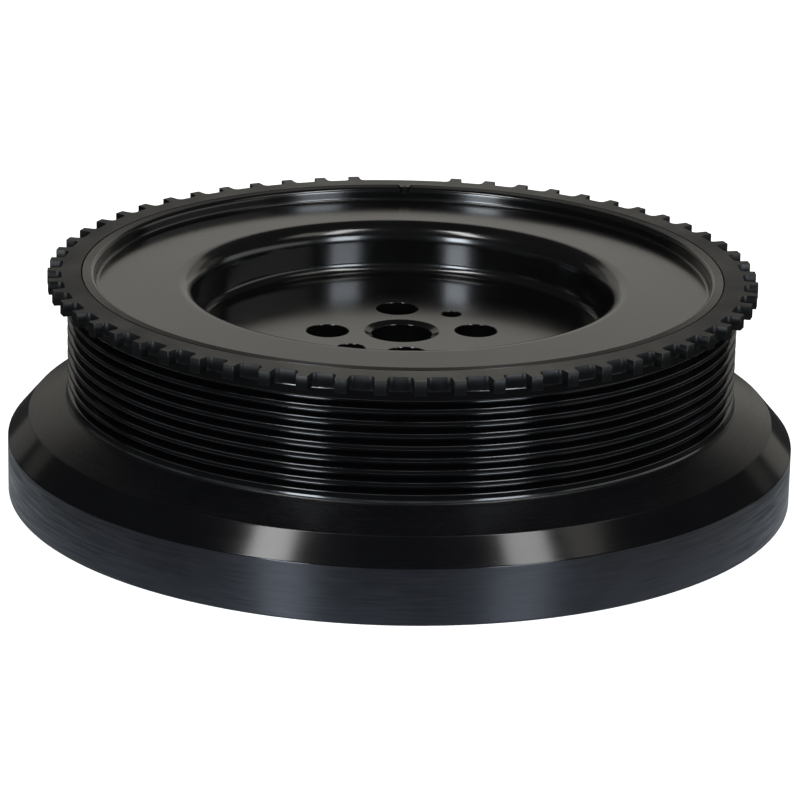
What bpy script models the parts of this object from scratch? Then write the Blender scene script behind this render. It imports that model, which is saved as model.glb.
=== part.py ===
"""Viscous crankshaft damper with an eight-groove belt pulley and a toothed tone ring.

The origin is the centre of the bottom face. +Z is the shaft axis and points to the tone ring.
The gap in the teeth is at +Y. Lengths are in metres; MM turns a figure in millimetres into metres.
"""

import math

import bmesh
import bpy
from mathutils import Matrix

MM = 0.001

# ---- Driving dimensions --------------------------------------------------------------------

# Outside of the housing, from the bottom up
SKIRT_OVERHANG = 17.8 * MM         # of the skirt, the widest part, outside the pulley's crests
SKIRT_HEIGHT = 16.9 * MM           # of the straight side
SKIRT_BREAK = 0.8 * MM             # chamfer on the bottom edge
SHOULDER_DROP = 7.2 * MM           # height of the steep chamfer over the straight side
SHOULDER_RUN = 6.2 * MM            # how far that chamfer comes in
NECK_RISE = 5.3 * MM               # height of the shallow cone up to the pulley
FOOT_STEP = 0.5 * MM               # the cone ends this far outside the pulley's lower land

# Belt grooves, PK section
GROOVE_COUNT = 8
GROOVE_PITCH = 3.56 * MM
GROOVE_ANGLE = math.radians(40)
GROOVE_FLOOR = 0.4 * MM            # width of the flat at the bottom of a groove
CREST_WIDTH = 1.13 * MM
CREST_RADIUS = 99.2 * MM
LOWER_LAND = 2.55 * MM             # plain band under the last groove
UPPER_LAND = 3.5 * MM              # plain band over the first groove
UPPER_EDGE = 1.0 * MM              # chamfer on the pulley's top edge, under the tone ring

# Tone ring
TOOTH_PLACES = 60                  # evenly pitched places
TEETH_MISSING = 2                  # left out side by side at +Y
TOOTH_ROOT_STEP = 1.6 * MM         # from the pulley's crests out to the bottom of the teeth
TOOTH_HEIGHT = 4.2 * MM
TOOTH_TIP_WIDTH = 3.4 * MM
TOOTH_BASE_WIDTH = 4.6 * MM
RING_THICKNESS = 4.1 * MM
RING_SEAT_GAP = 0.3 * MM           # between the ring's bore and its spigot
TAB_WIDTH = 4.0 * MM               # where the locating tab leaves the bore
TAB_TIP_WIDTH = 2.6 * MM
TAB_REACH = 2.4 * MM

# Front face
SPIGOT_STEP = 4.4 * MM             # from the pulley's crests in to the lip that carries the tone ring
LIP_WIDTH = 3.8 * MM
LIP_ROUND = 1.5 * MM
FACE_STEP = 3.3 * MM               # from the lip's top down to the ring-shaped face
DISH_RADIUS = 61.4 * MM
DISH_DEPTH = 18.5 * MM             # from the lip's top down to the dish floor
DISH_ROUND = 6.6 * MM              # at the mouth
DISH_FILLET = 3.2 * MM             # at the floor
WEB_THICKNESS = 12.0 * MM

# Holes through the web
BOLT_CIRCLE_RADIUS = 22.15 * MM
BOLT_COUNT = 4
BOLT_HOLE_RADIUS = 6.3 * MM
BOLT_START_ANGLE = math.radians(4)
PILOT_RADIUS = 9.0 * MM
PILOT_SINK_WIDTH = 2.2 * MM        # of the shallow countersink on the dish side of the pilot bore
PILOT_SINK_DEPTH = 0.9 * MM
DOWEL_HOLE_RADIUS = 3.0 * MM
DOWEL_HOLE_PLACE = 23.1 * MM
DOWEL_HOLE_ANGLE = math.radians(50)
SECOND_HOLE_RADIUS = 4.15 * MM
SECOND_HOLE_ANGLE = math.radians(230)

# Back: recess, boss and cover
RECESS_STEP = 4.4 * MM             # the recess is this much narrower than the dish, on each side
BOSS_RADIUS = 36.0 * MM
BOSS_HEIGHT = 4.0 * MM
COVER_INSET = 1.0 * MM             # of the cover's outside face above the bottom face
COVER_THICKNESS = 6.0 * MM
COVER_LEDGE = 3.5 * MM             # width of the seat at each edge of the cover
WELD_WIDTH = 2.4 * MM              # of the V at each edge of the cover
WELD_DEPTH = 2.0 * MM

# Chamber and inertia ring
SKIRT_WALL = 7.5 * MM
SKIRT_CHAMBER_RISE = 1.1 * MM      # of the wide part of the chamber over the straight side
GROOVE_WALL = 5.4 * MM             # metal behind the bottom of the grooves
FACE_WALL = 5.1 * MM               # metal under the ring-shaped face
DISH_WALL = 4.6 * MM               # metal round the dish
FLUID_GAP = 0.8 * MM               # round the inertia ring, filled with silicone fluid
INNER_GAP = 2.0 * MM               # between the inertia ring's bore and the inner wall

# Bearings
RUNNING_GAP = 0.4 * MM             # of a bush or a thrust pad to the housing
SEAT_GAP = 0.3 * MM                # round a piece in its pocket
BUSH_THICKNESS = 3.0 * MM
BUSH_WIDTH = 8.0 * MM
BUSH_EDGE = 5.0 * MM               # from an end of the inertia ring to the near bush
BUSH_SPLIT = 2.0 * MM
PAD_COUNT = 4
PAD_RADIUS = 7.0 * MM
PAD_THICKNESS = 4.0 * MM

# Filler plugs
PLUG_COUNT = 2
PLUG_HEAD_RADIUS = 6.2 * MM
PLUG_HEAD_HEIGHT = 1.8 * MM
PLUG_STEM_RADIUS = 3.8 * MM
PLUG_HEX = 5.0 * MM                # across flats
PLUG_HEX_DEPTH = 3.0 * MM
WASHER_THICKNESS = 1.0 * MM
PLUG_SINK = 0.3 * MM               # of the head under the cover's outside face
PLUG_START_ANGLE = math.radians(45)

SEGMENTS = 48
SMALL_SEGMENTS = 24
ARC_STEPS = 3
PAST = 1.0 * MM                    # how far a cutter runs past the face it cuts
TOUCH = 0.00001                    # merge distance for a turned shape's seam

# ---- Heights and radii that follow ---------------------------------------------------------

SKIRT_RADIUS = CREST_RADIUS + SKIRT_OVERHANG
TOOTH_ROOT_RADIUS = CREST_RADIUS + TOOTH_ROOT_STEP
TOOTH_TIP_RADIUS = TOOTH_ROOT_RADIUS + TOOTH_HEIGHT
SPIGOT_RADIUS = CREST_RADIUS - SPIGOT_STEP
LIP_WALL_RADIUS = SPIGOT_RADIUS - LIP_WIDTH
RECESS_RADIUS = DISH_RADIUS - RECESS_STEP
SKIRT_CHAMBER_TOP = SKIRT_HEIGHT + SKIRT_CHAMBER_RISE
SHOULDER_TOP = SKIRT_HEIGHT + SHOULDER_DROP
PULLEY_FOOT = SHOULDER_TOP + NECK_RISE
GROOVES_LOW = PULLEY_FOOT + LOWER_LAND
GROOVE_MOUTH = GROOVE_PITCH - CREST_WIDTH
GROOVES_HIGH = GROOVES_LOW + GROOVE_COUNT * GROOVE_PITCH - CREST_WIDTH
GROOVE_DEPTH = (GROOVE_MOUTH - GROOVE_FLOOR) / 2 / math.tan(GROOVE_ANGLE / 2)
RING_SEAT = GROOVES_HIGH + UPPER_LAND
TOP = RING_SEAT + RING_THICKNESS
FACE_HEIGHT = TOP - FACE_STEP
DISH_FLOOR = TOP - DISH_DEPTH
WEB_BACK = DISH_FLOOR - WEB_THICKNESS
BOSS_FACE = WEB_BACK - BOSS_HEIGHT
RING_BORE = SPIGOT_RADIUS + RING_SEAT_GAP

INNER_WALL = DISH_RADIUS + DISH_WALL
SKIRT_CHAMBER = SKIRT_RADIUS - SKIRT_WALL
NECK_CHAMBER = CREST_RADIUS - GROOVE_DEPTH - GROOVE_WALL
CHAMBER_TOP = FACE_HEIGHT - FACE_WALL
COVER_IN = COVER_INSET + COVER_THICKNESS
COVER_OUTER_SEAT = SKIRT_CHAMBER + COVER_LEDGE
COVER_INNER_SEAT = INNER_WALL - COVER_LEDGE
COVER_OUTER = COVER_OUTER_SEAT - SEAT_GAP
COVER_INNER = COVER_INNER_SEAT + SEAT_GAP

INERTIA_BORE = INNER_WALL + INNER_GAP
INERTIA_WIDE = SKIRT_CHAMBER - FLUID_GAP
INERTIA_NARROW = NECK_CHAMBER - FLUID_GAP
INERTIA_LOW = COVER_IN + FLUID_GAP
INERTIA_STEP = SKIRT_CHAMBER_TOP - FLUID_GAP
INERTIA_HIGH = CHAMBER_TOP - FLUID_GAP
BUSH_BORE = INNER_WALL + RUNNING_GAP
BUSH_OUTER = BUSH_BORE + BUSH_THICKNESS
PAD_PROUD = FLUID_GAP - RUNNING_GAP
PAD_LOW_PLACE = (INERTIA_BORE + INERTIA_WIDE) / 2
PAD_HIGH_PLACE = (BUSH_OUTER + SEAT_GAP + INERTIA_NARROW) / 2
PLUG_PLACE = (COVER_INNER + COVER_OUTER) / 2
PLUG_SEAT = COVER_INSET + PLUG_SINK + PLUG_HEAD_HEIGHT + WASHER_THICKNESS
PLUG_BORE = PLUG_STEM_RADIUS + SEAT_GAP

# ---- Scene and helpers ---------------------------------------------------------------------

for old in list(bpy.data.objects):
    bpy.data.objects.remove(old, do_unlink=True)


def new_collection(name):
    collection = bpy.data.collections.new(name)
    bpy.context.scene.collection.children.link(collection)
    return collection


parts = new_collection("crankshaft_damper")
cutters = new_collection("cutters")


def finish(name, colour, metallic, roughness):
    """One sub-part's own material."""
    material = bpy.data.materials.new(name)
    material.use_nodes = True
    shader = material.node_tree.nodes["Principled BSDF"]
    shader.inputs["Base Color"].default_value = (*colour, 1.0)
    shader.inputs["Metallic"].default_value = metallic
    shader.inputs["Roughness"].default_value = roughness
    return material


def black_coat(name):
    return finish(name, (0.012, 0.012, 0.014), 0.6, 0.32)


def steel(name):
    return finish(name, (0.42, 0.42, 0.43), 1.0, 0.35)


def bearing_bronze(name):
    return finish(name, (0.55, 0.36, 0.16), 1.0, 0.4)


def bearing_plastic(name):
    return finish(name, (0.75, 0.73, 0.66), 0.0, 0.5)


def copper(name):
    return finish(name, (0.72, 0.34, 0.2), 1.0, 0.35)


def add_piece(name, mesh, material=None, parent=None):
    """A visible sub-part, or a cutter where no material is given."""
    piece = bpy.data.objects.new(name, mesh)
    if material is None:
        cutters.objects.link(piece)
        piece.hide_render = True
        piece.display_type = "WIRE"
    else:
        parts.objects.link(piece)
        mesh.materials.append(material)
    piece.parent = parent
    return piece


def arc(centre, radius, start_degrees, end_degrees, steps=ARC_STEPS):
    """Points (r, z) along an arc of a turned profile."""
    points = []
    for i in range(steps + 1):
        angle = math.radians(start_degrees + (end_degrees - start_degrees) * i / steps)
        points.append((centre[0] + radius * math.cos(angle), centre[1] + radius * math.sin(angle)))
    return points


def turned(name, profile, material=None, segments=SEGMENTS, parent=None, at=(0.0, 0.0, 0.0)):
    """A ring or disc turned from a closed profile of (r, z) points: outer side down, inner side up."""
    mesh = bpy.data.meshes.new(name)
    shape = bmesh.new()
    corners = [shape.verts.new((r, 0.0, z)) for r, z in profile]
    for i, corner in enumerate(corners):
        if i + 1 < len(corners):
            shape.edges.new((corner, corners[i + 1]))
    if profile[0][0] > TOUCH:
        shape.edges.new((corners[-1], corners[0]))
    shape.to_mesh(mesh)
    shape.free()
    piece = add_piece(name, mesh, material, parent)
    piece.location = at
    screw = piece.modifiers.new("turn", "SCREW")
    screw.axis = "Z"
    screw.angle = 2 * math.pi
    screw.steps = segments
    screw.render_steps = segments
    screw.use_merge_vertices = True
    screw.merge_threshold = TOUCH
    screw.use_smooth_shade = True
    return piece


def prism(name, outline, low, high, material=None):
    """An upright plate of the given flat outline, a list of (x, y) points going anticlockwise."""
    shape = bmesh.new()
    face = shape.faces.new([shape.verts.new((x, y, low)) for x, y in outline])
    pushed = bmesh.ops.extrude_face_region(shape, geom=[face])["geom"]
    tops = [item for item in pushed if isinstance(item, bmesh.types.BMVert)]
    bmesh.ops.translate(shape, verts=tops, vec=(0.0, 0.0, high - low))
    bmesh.ops.recalc_face_normals(shape, faces=shape.faces)
    mesh = bpy.data.meshes.new(name)
    shape.to_mesh(mesh)
    shape.free()
    return add_piece(name, mesh, material)


def cylinder_mesh(name, radius, low, high, at=(0.0, 0.0), segments=SMALL_SEGMENTS, top_radius=None):
    """An upright cylinder or cone between two heights."""
    shape = bmesh.new()
    bmesh.ops.create_cone(
        shape,
        cap_ends=True,
        segments=segments,
        radius1=radius,
        radius2=radius if top_radius is None else top_radius,
        depth=high - low,
        matrix=Matrix.Translation((at[0], at[1], (low + high) / 2)),
    )
    mesh = bpy.data.meshes.new(name)
    shape.to_mesh(mesh)
    shape.free()
    return mesh


def cut(piece, cutter):
    boolean = piece.modifiers.new("cut_" + cutter.name, "BOOLEAN")
    boolean.operation = "DIFFERENCE"
    boolean.solver = "EXACT"
    boolean.object = cutter
    cutter.parent = piece.parent


def polar(radius, angle):
    return (radius * math.cos(angle), radius * math.sin(angle))


def drill(piece, name, radius, low, high, at, segments=SMALL_SEGMENTS, top_radius=None):
    cutter = add_piece(name, cylinder_mesh(name, radius, low, high, at, segments, top_radius))
    cut(piece, cutter)


def smooth(piece):
    """Round sides shaded smooth, with corners kept sharp."""
    piece.data.shade_smooth()
    piece.data.set_sharp_from_angle(angle=math.radians(35))


# ---- Housing: pulley, dish and damper shell ------------------------------------------------


def groove_profile():
    """The grooved side of the pulley from the upper land down to the lower land."""
    points = []
    root = CREST_RADIUS - GROOVE_DEPTH
    flank = (GROOVE_MOUTH - GROOVE_FLOOR) / 2
    for number in range(GROOVE_COUNT):
        high = GROOVES_HIGH - number * GROOVE_PITCH
        points.append((CREST_RADIUS, high))
        points.append((root, high - flank))
        points.append((root, high - flank - GROOVE_FLOOR))
        points.append((CREST_RADIUS, high - GROOVE_MOUTH))
    return points


def outside_profile():
    """From the tone ring's spigot down the outside to the cover's outer seat."""
    points = [
        (SPIGOT_RADIUS, TOP),
        (SPIGOT_RADIUS, RING_SEAT),
        (CREST_RADIUS - UPPER_EDGE, RING_SEAT),
        (CREST_RADIUS, RING_SEAT - UPPER_EDGE),
    ]
    points += groove_profile()
    points += [
        (CREST_RADIUS, PULLEY_FOOT),
        (CREST_RADIUS + FOOT_STEP, PULLEY_FOOT),
        (SKIRT_RADIUS - SHOULDER_RUN, SHOULDER_TOP),
        (SKIRT_RADIUS, SKIRT_HEIGHT),
        (SKIRT_RADIUS, SKIRT_BREAK),
        (SKIRT_RADIUS - SKIRT_BREAK, 0.0),
        (COVER_OUTER_SEAT + WELD_WIDTH / 2, 0.0),
        (COVER_OUTER_SEAT + WELD_WIDTH / 2, COVER_INSET),
        (COVER_OUTER_SEAT, COVER_INSET + WELD_DEPTH),
        (COVER_OUTER_SEAT, COVER_IN),
    ]
    return points


def chamber_profile():
    """Round the inside of the chamber, from the outer seat up, over and down to the inner seat."""
    return [
        (SKIRT_CHAMBER, COVER_IN),
        (SKIRT_CHAMBER, SKIRT_CHAMBER_TOP),
        (NECK_CHAMBER, SKIRT_CHAMBER_TOP),
        (NECK_CHAMBER, CHAMBER_TOP),
        (INNER_WALL, CHAMBER_TOP),
        (INNER_WALL, COVER_IN),
        (COVER_INNER_SEAT, COVER_IN),
        (COVER_INNER_SEAT, COVER_INSET + WELD_DEPTH),
        (COVER_INNER_SEAT - WELD_WIDTH / 2, COVER_INSET),
        (COVER_INNER_SEAT - WELD_WIDTH / 2, 0.0),
    ]


def hub_profile():
    """The recess at the back, the boss, the pilot bore and the dish, up to the lip."""
    points = [
        (RECESS_RADIUS, 0.0),
        (RECESS_RADIUS, WEB_BACK),
        (BOSS_RADIUS, WEB_BACK),
        (BOSS_RADIUS, BOSS_FACE),
        (PILOT_RADIUS, BOSS_FACE),
        (PILOT_RADIUS, DISH_FLOOR - PILOT_SINK_DEPTH),
        (PILOT_RADIUS + PILOT_SINK_WIDTH, DISH_FLOOR),
    ]
    fillet_centre = (DISH_RADIUS - DISH_FILLET, DISH_FLOOR + DISH_FILLET)
    points += arc(fillet_centre, DISH_FILLET, 270, 360)
    mouth_centre = (DISH_RADIUS + DISH_ROUND, FACE_HEIGHT - DISH_ROUND)
    points += arc(mouth_centre, DISH_ROUND, 180, 90)
    points.append((LIP_WALL_RADIUS, FACE_HEIGHT))
    lip_centre = (LIP_WALL_RADIUS + LIP_ROUND, TOP - LIP_ROUND)
    points += arc(lip_centre, LIP_ROUND, 180, 90)
    return points


def make_housing():
    profile = outside_profile() + chamber_profile() + hub_profile()
    housing = turned("damper_housing", profile, black_coat("housing_black"))
    for number in range(BOLT_COUNT):
        angle = BOLT_START_ANGLE + number * 2 * math.pi / BOLT_COUNT
        at = polar(BOLT_CIRCLE_RADIUS, angle)
        drill(housing, f"bolt_hole_{number + 1}", BOLT_HOLE_RADIUS, BOSS_FACE - PAST, DISH_FLOOR + PAST, at)
    for name, radius, angle in (
        ("dowel_hole", DOWEL_HOLE_RADIUS, DOWEL_HOLE_ANGLE),
        ("second_hole", SECOND_HOLE_RADIUS, SECOND_HOLE_ANGLE),
    ):
        drill(housing, name, radius, BOSS_FACE - PAST, DISH_FLOOR + PAST, polar(DOWEL_HOLE_PLACE, angle))
    cut(housing, prism("tab_notch", tab_outline(RING_SEAT_GAP, CREST_RADIUS), RING_SEAT, TOP + PAST))
    return housing


def tab_outline(clearance, outer):
    """The locating tab, tapering inwards at +Y, grown by a clearance and running out to a radius."""
    half = TAB_WIDTH / 2 + clearance
    tip_half = TAB_TIP_WIDTH / 2 + clearance
    tip = RING_BORE - TAB_REACH - clearance
    return [(-tip_half, tip), (tip_half, tip), (half, RING_BORE), (half, outer), (-half, outer), (-half, RING_BORE)]


# ---- Tone ring -----------------------------------------------------------------------------


def tone_outline():
    """The toothed outside, anticlockwise from the gap's near side; the gap is centred on +Y."""
    pitch = 2 * math.pi / TOOTH_PLACES
    gap_angle = math.pi / 2
    points = []
    for number in range(TOOTH_PLACES - TEETH_MISSING):
        middle = gap_angle + pitch * (number + (TEETH_MISSING + 1) / 2)
        for radius, width, side in (
            (TOOTH_ROOT_RADIUS, TOOTH_BASE_WIDTH, -1),
            (TOOTH_TIP_RADIUS, TOOTH_TIP_WIDTH, -1),
            (TOOTH_TIP_RADIUS, TOOTH_TIP_WIDTH, 1),
            (TOOTH_ROOT_RADIUS, TOOTH_BASE_WIDTH, 1),
        ):
            points.append(polar(radius, middle + side * width / 2 / radius))
    first = gap_angle - pitch * (TEETH_MISSING - 1) / 2
    for step in range(TEETH_MISSING):
        points.append(polar(TOOTH_ROOT_RADIUS, first + pitch * step))
    return points


def make_tone_ring():
    ring = prism("tone_ring", tone_outline(), RING_SEAT, TOP, black_coat("tone_ring_black"))
    bore = add_piece(
        "tone_ring_bore",
        cylinder_mesh("tone_ring_bore", RING_BORE, RING_SEAT - PAST, TOP + PAST, segments=SEGMENTS),
    )
    tab = prism("locating_tab", tab_outline(0.0, TOOTH_ROOT_RADIUS - PAST), RING_SEAT, TOP)
    cut(ring, bore)
    join = ring.modifiers.new("add_tab", "BOOLEAN")
    join.operation = "UNION"
    join.solver = "EXACT"
    join.object = tab
    return ring


# ---- Cover, welds and filler plugs ---------------------------------------------------------


def make_cover():
    v_outer = COVER_OUTER - WELD_WIDTH / 2
    v_inner = COVER_INNER + WELD_WIDTH / 2
    cover = turned(
        "chamber_cover",
        [
            (COVER_OUTER, COVER_IN),
            (COVER_OUTER, COVER_INSET + WELD_DEPTH),
            (v_outer, COVER_INSET),
            (v_inner, COVER_INSET),
            (COVER_INNER, COVER_INSET + WELD_DEPTH),
            (COVER_INNER, COVER_IN),
        ],
        black_coat("cover_black"),
    )
    for number in range(PLUG_COUNT):
        at = polar(PLUG_PLACE, PLUG_START_ANGLE + number * 2 * math.pi / PLUG_COUNT)
        name = f"plug_seat_{number + 1}"
        drill(cover, name, PLUG_HEAD_RADIUS + SEAT_GAP, COVER_INSET - PAST, PLUG_SEAT, at)
        drill(cover, f"plug_bore_{number + 1}", PLUG_BORE, PLUG_SEAT - PAST, COVER_IN + PAST, at)
    return cover


def make_weld(name, seam, half_width):
    """A closing weld: a bead that fills the V between the cover's edge and its seat."""
    low = COVER_INSET
    high = COVER_INSET + WELD_DEPTH
    top_half = SEAT_GAP / 2
    return turned(
        name,
        [(seam + top_half, high - SEAT_GAP), (seam + half_width, low), (seam - half_width, low),
         (seam - top_half, high - SEAT_GAP)],
        steel(name + "_steel"),
    )


def make_plug(number):
    angle = PLUG_START_ANGLE + (number - 1) * 2 * math.pi / PLUG_COUNT
    x, y = polar(PLUG_PLACE, angle)
    head_low = COVER_INSET + PLUG_SINK
    head_high = head_low + PLUG_HEAD_HEIGHT
    stem_end = COVER_IN - SEAT_GAP
    plug = turned(
        f"filler_plug_{number}",
        [(0.0, stem_end), (PLUG_STEM_RADIUS, stem_end), (PLUG_STEM_RADIUS, head_high),
         (PLUG_HEAD_RADIUS, head_high), (PLUG_HEAD_RADIUS, head_low), (0.0, head_low)],
        steel(f"plug_steel_{number}"),
        segments=SMALL_SEGMENTS,
        at=(x, y, 0.0),
    )
    hexagon = cylinder_mesh(
        f"plug_hexagon_{number}",
        PLUG_HEX / math.sqrt(3),
        head_low - PAST,
        head_low + PLUG_HEX_DEPTH,
        (x, y),
        segments=6,
    )
    cut(plug, add_piece(f"plug_hexagon_{number}", hexagon))
    turned(
        f"plug_washer_{number}",
        [(PLUG_HEAD_RADIUS, PLUG_SEAT), (PLUG_HEAD_RADIUS, head_high), (PLUG_BORE, head_high),
         (PLUG_BORE, PLUG_SEAT)],
        copper(f"washer_copper_{number}"),
        segments=SMALL_SEGMENTS,
        at=(x, y, 0.0),
    )
    return plug


# ---- Inertia ring and its bearings ---------------------------------------------------------


def bush_heights():
    """The low end of the lower bush and of the upper bush."""
    return (INERTIA_LOW + BUSH_EDGE, INERTIA_HIGH - BUSH_EDGE - BUSH_WIDTH)


def make_inertia_ring(axle):
    groove = BUSH_OUTER + SEAT_GAP
    profile = [
        (INERTIA_NARROW, INERTIA_HIGH),
        (INERTIA_NARROW, INERTIA_STEP),
        (INERTIA_WIDE, INERTIA_STEP),
        (INERTIA_WIDE, INERTIA_LOW),
        (INERTIA_BORE, INERTIA_LOW),
    ]
    for low in bush_heights():
        profile += [
            (INERTIA_BORE, low),
            (groove, low),
            (groove, low + BUSH_WIDTH + SEAT_GAP),
            (INERTIA_BORE, low + BUSH_WIDTH + SEAT_GAP),
        ]
    profile.append((INERTIA_BORE, INERTIA_HIGH))
    ring = turned("inertia_ring", profile, steel("inertia_steel"), parent=axle)
    for end, place, low, high in pad_pockets():
        for number in range(PAD_COUNT):
            at = polar(place, number * 2 * math.pi / PAD_COUNT)
            drill(ring, f"pad_pocket_{end}_{number + 1}", PAD_RADIUS + SEAT_GAP, low, high, at)
    return ring


def pad_pockets():
    """Each end's name, pocket circle, and the heights that its cutter runs between."""
    depth = PAD_THICKNESS - PAD_PROUD
    return (
        ("lower", PAD_LOW_PLACE, INERTIA_LOW - PAST, INERTIA_LOW + depth),
        ("upper", PAD_HIGH_PLACE, INERTIA_HIGH - depth, INERTIA_HIGH + PAST),
    )


def make_bush(name, low, axle):
    """A split bearing band, open at +X so that it springs into its groove."""
    high = low + BUSH_WIDTH
    bush = turned(
        name,
        [(BUSH_OUTER, high), (BUSH_OUTER, low), (BUSH_BORE, low), (BUSH_BORE, high)],
        bearing_bronze(name + "_bronze"),
        parent=axle,
    )
    half = BUSH_SPLIT / 2
    outline = [
        (BUSH_BORE - PAST, -half),
        (BUSH_OUTER + PAST, -half),
        (BUSH_OUTER + PAST, half),
        (BUSH_BORE - PAST, half),
    ]
    cut(bush, prism(name + "_split", outline, low - PAST, high + PAST))
    return bush


def make_pads(axle):
    lower = INERTIA_LOW - PAD_PROUD
    upper = INERTIA_HIGH + PAD_PROUD - PAD_THICKNESS
    for end, place, low in (("lower", PAD_LOW_PLACE, lower), ("upper", PAD_HIGH_PLACE, upper)):
        for number in range(1, PAD_COUNT + 1):
            name = f"thrust_pad_{end}_{number}"
            at = polar(place, (number - 1) * 2 * math.pi / PAD_COUNT)
            mesh = cylinder_mesh(name, PAD_RADIUS, low, low + PAD_THICKNESS, at)
            pad = add_piece(name, mesh, bearing_plastic(name + "_plastic"), axle)
            smooth(pad)


# ---- Assembly ------------------------------------------------------------------------------

make_housing()
smooth(make_tone_ring())
make_cover()
weld_half = WELD_WIDTH / 2
make_weld("outer_weld", (COVER_OUTER + COVER_OUTER_SEAT) / 2, weld_half - SEAT_GAP)
make_weld("inner_weld", (COVER_INNER + COVER_INNER_SEAT) / 2, weld_half - SEAT_GAP)
for plug_number in range(1, PLUG_COUNT + 1):
    make_plug(plug_number)

axle = bpy.data.objects.new("inertia_axis", None)
parts.objects.link(axle)
make_inertia_ring(axle)
for bush_name, bush_low in zip(("lower_bush", "upper_bush"), bush_heights()):
    make_bush(bush_name, bush_low, axle)
make_pads(axle)
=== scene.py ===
"""Looks for the viscous crankshaft damper: fine turned pieces, their finishes, light and camera."""
import math

import bmesh
import bpy
from mathutils import Matrix, Vector


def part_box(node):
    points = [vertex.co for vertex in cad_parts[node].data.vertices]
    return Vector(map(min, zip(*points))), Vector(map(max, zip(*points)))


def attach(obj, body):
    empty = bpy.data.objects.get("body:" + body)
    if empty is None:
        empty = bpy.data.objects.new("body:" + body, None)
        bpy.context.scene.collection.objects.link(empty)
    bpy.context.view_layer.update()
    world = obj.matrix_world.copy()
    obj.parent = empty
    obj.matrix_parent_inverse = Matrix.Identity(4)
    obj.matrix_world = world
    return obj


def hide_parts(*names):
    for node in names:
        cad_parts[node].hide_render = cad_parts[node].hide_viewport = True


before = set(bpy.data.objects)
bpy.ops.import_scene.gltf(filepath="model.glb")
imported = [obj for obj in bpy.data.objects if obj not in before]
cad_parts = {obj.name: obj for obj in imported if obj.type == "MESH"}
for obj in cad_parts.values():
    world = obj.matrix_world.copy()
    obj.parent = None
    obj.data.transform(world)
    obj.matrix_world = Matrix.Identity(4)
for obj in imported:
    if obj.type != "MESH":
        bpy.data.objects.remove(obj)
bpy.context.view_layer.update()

MM = 0.001

# ---- Sizes ---------------------------------------------------------------------------------

housing_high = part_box("damper_housing")[1]
ring_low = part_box("tone_ring")[0]
cover_low, cover_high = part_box("chamber_cover")
inertia_low, inertia_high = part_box("inertia_ring")

TOP = housing_high.z
SKIRT_RADIUS = housing_high.x
RING_SEAT = ring_low.z

# Outside of the housing
SKIRT_HEIGHT = 16.9 * MM
SHOULDER_DROP = 7.2 * MM
SHOULDER_RUN = 6.2 * MM
SHOULDER_TOP = SKIRT_HEIGHT + SHOULDER_DROP
CREST_RADIUS = 99.2 * MM
FOOT_HEIGHT = 29.6 * MM
FOOT_FILLET = 1.7 * MM
UPPER_LAND = 3.5 * MM
UPPER_EDGE = 1.0 * MM

# Belt grooves, PK section
GROOVE_COUNT = 8
GROOVE_PITCH = 3.56 * MM
GROOVE_ANGLE = math.radians(40)
GROOVE_FLOOR = 0.4 * MM
CREST_WIDTH = 1.13 * MM
CREST_EDGE = 0.28 * MM
GROOVE_MOUTH = GROOVE_PITCH - CREST_WIDTH
GROOVE_FLANK = (GROOVE_MOUTH - GROOVE_FLOOR) / 2
GROOVE_DEPTH = GROOVE_FLANK / math.tan(GROOVE_ANGLE / 2)
GROOVES_HIGH = RING_SEAT - UPPER_LAND

# Front face, dish and hub
SPIGOT_RADIUS = 94.8 * MM
LIP_WALL_RADIUS = 91.0 * MM
LIP_ROUND = 1.4 * MM
LIP_FILLET = 1.0 * MM
FACE_HEIGHT = TOP - 3.3 * MM
FACE_FALL = 0.8 * MM               # of the face, from the dish out to the lip
DISH_RADIUS = 61.4 * MM
DISH_ROUND = 5.6 * MM
DISH_FILLET = 3.2 * MM
DISH_FLOOR = TOP - 18.5 * MM
WEB_BACK = DISH_FLOOR - 12.0 * MM
BOSS_FACE = WEB_BACK - 4.0 * MM
BOSS_RADIUS = 36.0 * MM
RECESS_RADIUS = 57.0 * MM
PILOT_RADIUS = 9.0 * MM
PILOT_SINK_WIDTH = 2.2 * MM
PILOT_SINK_DEPTH = 0.9 * MM
HOLE_CHAMFER = 0.2 * MM

# Holes in the dish: radius, distance from the axis, angle in degrees
BOLT_HOLES = [(6.3 * MM, 22.15 * MM, 4 + 90 * number) for number in range(4)]
SMALL_HOLES = [(3.0 * MM, 23.1 * MM, 50), (4.15 * MM, 23.1 * MM, 230)]

# Tone ring
TOOTH_PLACES = 60
TEETH_MISSING = 2
TOOTH_TIP_RADIUS = 105.0 * MM
TOOTH_ROOT_RADIUS = 100.8 * MM
TOOTH_TIP_HALF = 1.7 * MM
TOOTH_BASE_HALF = 1.95 * MM
TOOTH_FILLET = 1.5 * MM
TOOTH_TIP_ROUND = 0.25 * MM
RING_EDGE = 0.12 * MM
RING_BORE = SPIGOT_RADIUS + 0.3 * MM
TAB_HALF = 2.0 * MM
TAB_TIP_HALF = 1.3 * MM
TAB_REACH = 2.4 * MM
NOTCH_HALF = 2.6 * MM              # of the notch in the lip that the tab sits in
NOTCH_TIP_HALF = 1.1 * MM
NOTCH_DEPTH = 1.6 * MM             # where it runs out through the lip, past the tab
PUNCH_RADIUS = 0.45 * MM           # of the punched dot on the tab
PUNCH_FROM_TIP = 0.9 * MM
PUNCH_LIFT = 0.9 * MM
SEAT_GAP = 0.3 * MM

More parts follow.
